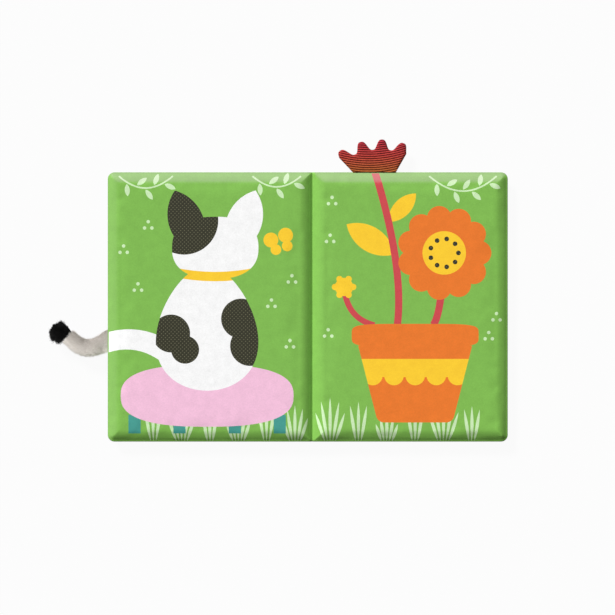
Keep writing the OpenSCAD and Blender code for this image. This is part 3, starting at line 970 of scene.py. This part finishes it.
class Tail:
    """Path of the tail, in mm: straight from the page's edge, a bend, and straight again to the tuft."""

    def __init__(self):
        self.root = Vector((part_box("left_page")[0][0] / MM, TAIL_Y, 0))
        self.seam = Leaf("left_page", PAGE_SEAM).seam
        self.rest = TUFT_D / 2 + TABLE_GAP
        self.bend = TAIL_BEND_R * math.radians(TAIL_TURN)
        self.length = TAIL_LEAD + self.bend + TAIL_REACH

    def heading(self, s):
        """Angle from straight left towards the page's top, at length s from the root, in radians."""
        turned = min(max((s - TAIL_LEAD) / self.bend, 0), 1) * TAIL_TURN
        return math.radians(turned - TAIL_ROOT_ANGLE)

    def forward(self, s):
        """Direction of the path at length s."""
        h = self.heading(s)
        return Vector((-math.cos(h), math.sin(h), 0))

    def point(self, s):
        """Point of the path at length s, at the table's height."""
        start = math.radians(-TAIL_ROOT_ANGLE)
        h = self.heading(s)
        before = min(s, TAIL_LEAD)
        after = max(s - TAIL_LEAD - self.bend, 0)
        bend = Vector((math.sin(start) - math.sin(h), math.cos(start) - math.cos(h), 0)) * TAIL_BEND_R
        return self.root + self.forward(0) * before + bend + self.forward(self.length) * after

    def place(self, u, a, shrink):
        """(point, outward direction) on the skin at length share u and angle a, drawn in by shrink."""
        root_t, least_t = 1.6, 0.4
        s = max(u, 0) * self.length
        # Flat at the seam, and full from a third of its length on
        full = float(ease(3 * u))
        d = TAIL_D + (TAIL_END_D - TAIL_D) * float(ease(1.6 * u - 0.6))
        half_w = (d * full + TAIL_ROOT_W * (1 - full)) / 2
        half_t = (root_t + (d - root_t) * full) / 2
        tilt = math.radians(-TAIL_ROOT_ANGLE) * (1 - full)
        h = self.heading(s) - tilt
        side = Vector((-math.sin(h), -math.cos(h), 0))
        thin = shrink * min(1.0, half_t / 4)
        w, t = half_w - thin, max(half_t - thin, least_t)
        centre = self.point(s)
        centre.z = self.seam + (self.rest - self.seam) * full
        centre.x += max(-u, 0) * self.length
        normal = side * (math.cos(a) / w) + Vector((0, 0, math.sin(a) / t))
        return centre + side * (w * math.cos(a)) + Vector((0, 0, t * math.sin(a))), normal.normalized()


def dress_tail(tail):
    """Short pale pile over a closed tube that starts inside the page's seam."""
    pile, root_depth = 1.4, 0.2
    strand_count = 11000
    strand_len = (1.6, 2.5)
    strand_w = (0.20, 0.34)
    tip_lighter = 0.35
    tuck = 1.0 / tail.length
    strands = Strands()
    rng = random.Random(11)

    def skin(u, a):
        return tail.place(u * (1 + tuck) - tuck, a, pile)[0]

    strands.tube(rings=36, sides=28, place=skin, tone=0.6)
    for _ in range(strand_count):
        u = rng.uniform(0.0, 1.0)
        a = rng.uniform(0, 2 * math.pi)
        root, normal = tail.place(u, a, pile + root_depth)
        along = tail.forward(u * tail.length)
        lean = (normal * 0.8 + along * 0.6 + scatter(rng, 0.25)).normalized()
        length = rng.uniform(*strand_len) * min(1.0, 0.35 + 2.2 * u)
        tip = root + lean * length + along * length * 0.2
        # Painted shade: darker on the side towards the page's top and lighter on the side that faces the
        # page's bottom, with a random tone for each strand
        tone_with_painted_shade = 0.42 + 0.42 * math.cos(a) + 0.34 * rng.random()
        path = [root, root + lean * length * 0.55, tip]
        strands.add(path, rng.uniform(*strand_w), tone_with_painted_shade, tone_with_painted_shade + tip_lighter, normal)
    material = fibre_material("beige_plush", PLUSH_ROOT, PLUSH_TIP, gloss=0.05, through=0.6)
    strands.piece("tail_plush", material, "tail", "beige_plush")


def dress_tuft(tail):
    """Black fur: short strands all round a closed body, and locks that reach further."""
    end = tail.point(tail.length)
    end.z = tail.rest
    droop = tail.heading(tail.length) - math.radians(TUFT_DROOP)
    axis = Vector((-math.cos(droop), math.sin(droop), 0))
    side = Vector((math.sin(droop), math.cos(droop), 0))
    up = Vector((0, 0, 1))
    core = 0.60
    root_scale = core - 0.06
    widest = 0.5
    body_len = 0.92 * TUFT_LEN
    lean_share = -0.12
    coat_count, coat_len = 7000, (1.5, 2.7)
    lock_count, lock_reach, lock_w, lock_t = 1500, 7.5, 1.1, 2.0
    strand_w = (0.22, 0.40)
    facing = Vector((0.2, 0.31, 0.83))
    strands = Strands()
    rng = random.Random(23)

    def place(s, a, scale):
        """Point of the tuft's body at length share s and angle a, drawn in to scale."""
        if s < widest:
            r = (TAIL_END_D + (TUFT_D - TAIL_END_D) * math.sin(math.pi / 2 * s / widest)) / 2
        else:
            past = (s - widest) / (1.05 - widest)
            r = TUFT_D / 2 * math.sqrt(1 - past * past)
        lean = lean_share * TUFT_LEN * (s - widest) * ease(2 * s)
        across = side * (lean + r * scale * math.cos(a))
        return end + axis * (s * body_len) + across + up * (r * scale * math.sin(a))

    def strand(root, tip, bend):
        """One strand, with its tip kept above the table."""
        tip.z = max(tip.z, TABLE_GAP)
        middle = root.lerp(tip, 0.55) + bend
        strands.add([root, middle, tip], rng.uniform(*strand_w), 0.0, 0.3 + 0.5 * rng.random(), facing)

    strands.tube(rings=14, sides=24, place=lambda s, a: place(s, a, core), tone=0.1)
    for _ in range(coat_count):
        s = rng.uniform(0.0, 1.0)
        a = rng.uniform(0, 2 * math.pi)
        spoke = side * math.cos(a) + up * math.sin(a)
        outward = (spoke * (1.0 - 0.5 * s) + axis * (0.45 + 0.7 * s)).normalized()
        root = place(s, a, root_scale)
        length = rng.uniform(*coat_len) * (0.5 + 0.5 * float(ease(s / 0.35)))
        strand(root, root + (outward + scatter(rng, 0.16)) * length, outward * 0.3)
    for along, across in TUFT_LOCKS:
        lock = end + axis * along + side * across
        for _ in range(lock_count):
            s = rng.uniform(0.1, 1.0)
            a = rng.uniform(0, 2 * math.pi)
            root = place(s, a, root_scale)
            aim = lock + scatter(rng, lock_w) + up * rng.gauss(0, lock_t)
            if (aim - root).length < lock_reach:
                strand(root, root.lerp(aim, rng.uniform(0.7, 1.0)), scatter(rng, 0.2))
    material = fibre_material("black_fur", FUR_ROOT, FUR_TIP, gloss=0.15)
    strands.piece("tuft_fur", material, "tail_tuft", "black_fur")


# Crest

def dress_crest():
    """A padded tab with ribs across it, thin at its edge."""
    segments = top_segments("crest")
    low, high = (np.array(corner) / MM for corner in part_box("crest"))
    middle_z = (low[2] + high[2]) / 2
    middle_x = (low[0] + high[0]) / 2
    points, edges = numbered(segments)
    step_x, step_y, clear_of_edge = 0.9, 0.2, 0.18
    xs = np.arange(low[0] + 0.5, high[0], step_x)
    ys = np.arange(low[1] + step_y / 2, high[1], step_y)
    grid = np.array([(x, y) for x in xs for y in ys])
    grid = grid[segment_distance(grid, segments) > clear_of_edge]
    xy, faces = triangulate(np.vstack([points, grid]), edges)
    tree = node_tree("crest")
    above = (high[2] + 20) * MM
    xy, faces = compact(xy, [f for f in faces if lies_under(tree, *(xy[list(f)].mean(0) * MM), above)])
    edge = segment_distance(xy, segments)
    # Full at its root, which is sewn into the page's seam
    root_h = 2.5
    edge = np.where(xy[:, 1] < low[1] + root_h, np.maximum(edge, root_h), edge)
    crown = np.sqrt(np.clip(1 - (1 - np.clip(edge / CREST_EDGE_W, 0, 1)) ** 2, 0, 1))
    # The ribs bow and slant a little across the tab
    bow_share, slant, roundness = 0.006, 0.03, 0.8
    across = xy[:, 0] - middle_x
    bow = bow_share * across ** 2 + slant * across
    rib = np.abs(np.sin(math.pi * (xy[:, 1] - low[1] - bow) / RIB_PITCH)) ** roundness
    half = CREST_EDGE_T + CREST_T * crown + RIB_T * rib * crown
    n = len(xy)
    rim = boundary_chain(faces)
    upper = np.column_stack([xy, middle_z + half])
    lower = np.column_stack([xy, middle_z - half])
    faces = faces + [tuple(k + n for k in f)[::-1] for f in faces]
    for k, p in enumerate(rim):
        q = rim[(k + 1) % len(rim)]
        faces.append((q, p, p + n, q + n))
    material = corduroy_material("red_corduroy", low[1] * MM, high[1] * MM)
    crest = mesh_object("crest_cloth", np.vstack([upper, lower]) * MM, faces, [material])
    set_attribute(crest, "rib", np.concatenate([rib, rib]))
    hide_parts("crest")
    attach(crest, BACK)


# Stage

def show_or_light(tree, share, light, shown, output):
    """The shader shown, by share, to rays that see the background, and the shader light to all others."""
    path = tree.nodes.new("ShaderNodeLightPath")
    factor = path.outputs["Is Camera Ray"]
    for ray in ("Is Glossy Ray", "Is Transmission Ray"):
        larger = tree.nodes.new("ShaderNodeMath")
        larger.operation = "MAXIMUM"
        tree.links.new(factor, larger.inputs[0])
        tree.links.new(path.outputs[ray], larger.inputs[1])
        factor = larger.outputs[0]
    scaled = tree.nodes.new("ShaderNodeMath")
    scaled.operation = "MULTIPLY"
    scaled.inputs[1].default_value = share
    tree.links.new(factor, scaled.inputs[0])
    mixed = tree.nodes.new("ShaderNodeMixShader")
    tree.links.new(scaled.outputs[0], mixed.inputs[0])
    tree.links.new(light.outputs[0], mixed.inputs[1])
    tree.links.new(shown.outputs[0], mixed.inputs[2])
    out = tree.nodes.new(output)
    tree.links.new(mixed.outputs[0], out.inputs[0])


def make_floor():
    """A floor that looks almost white and lights the object as a grey one."""
    size = 3.0
    below = 0.1 * MM
    corners = [(-size, -size, 0), (size, -size, 0), (size, size, 0), (-size, size, 0)]
    material = bpy.data.materials.new("pale_floor")
    material.use_nodes = True
    tree = material.node_tree
    tree.nodes.clear()
    diffuse = tree.nodes.new("ShaderNodeBsdfDiffuse")
    diffuse.inputs["Color"].default_value = (FLOOR_GREY, FLOOR_GREY, FLOOR_GREY, 1)
    glow = tree.nodes.new("ShaderNodeEmission")
    show_or_light(tree, FLOOR_SHOWN, diffuse, glow, "ShaderNodeOutputMaterial")
    floor = mesh_object("floor", corners, [(0, 1, 2, 3)], [material])
    floor.location.z = -below
    floor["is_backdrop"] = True


def make_light():
    """A white world that lights the object a little, and one soft sun from the top left."""
    world = bpy.data.worlds.new("studio")
    bpy.context.scene.world = world
    world.use_nodes = True
    tree = world.node_tree
    tree.nodes.clear()
    fill = tree.nodes.new("ShaderNodeBackground")
    white = tree.nodes.new("ShaderNodeBackground")
    for background, strength in ((fill, FILL_LIGHT), (white, 1.0)):
        background.inputs["Color"].default_value = (1, 1, 1, 1)
        background.inputs["Strength"].default_value = strength
    show_or_light(tree, 1.0, fill, white, "ShaderNodeOutputWorld")

    azimuth, altitude = math.radians(KEY_AZIMUTH), math.radians(KEY_ALTITUDE)
    key = bpy.data.lights.new("key", "SUN")
    key.angle = math.radians(KEY_SPREAD)
    key.energy = (1 - FILL_LIGHT) * math.pi / math.sin(altitude)
    lamp = bpy.data.objects.new("key", key)
    bpy.context.collection.objects.link(lamp)
    level = math.cos(altitude)
    towards = Vector((math.cos(azimuth) * level, math.sin(azimuth) * level, math.sin(altitude)))
    lamp.rotation_euler = towards.to_track_quat("Z", "Y").to_euler()


def make_camera():
    """A long lens straight above the spread."""
    frame_w = FRAME_PX * MM_PER_PX
    aim = Vector((AIM_X, AIM_Y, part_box("left_page")[1][2] / MM))
    camera = bpy.data.cameras.new("camera")
    camera.sensor_width = SENSOR
    camera.lens = LENS
    obj = bpy.data.objects.new("camera", camera)
    bpy.context.collection.objects.link(obj)
    obj.location = (aim + Vector((0, 0, frame_w * LENS / SENSOR))) * MM
    bpy.context.scene.camera = obj


make_camera()
make_light()
make_floor()
green_cloth = dress_leaves()
gutter_floor = dress_gutter(green_cloth, Leaf("right_page", PAGE_SEAM))
dress_spine(green_cloth, Leaf("back_cover", COVER_SEAM), gutter_floor)
tail_path = Tail()
dress_tail(tail_path)
dress_tuft(tail_path)
dress_crest()
bpy.context.scene.view_settings.view_transform = "Standard"
boxes = {"cad": CAD_BOX, "visual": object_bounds()}
{key: [list(map(float, corner)) for corner in box] for key, box in boxes.items()}
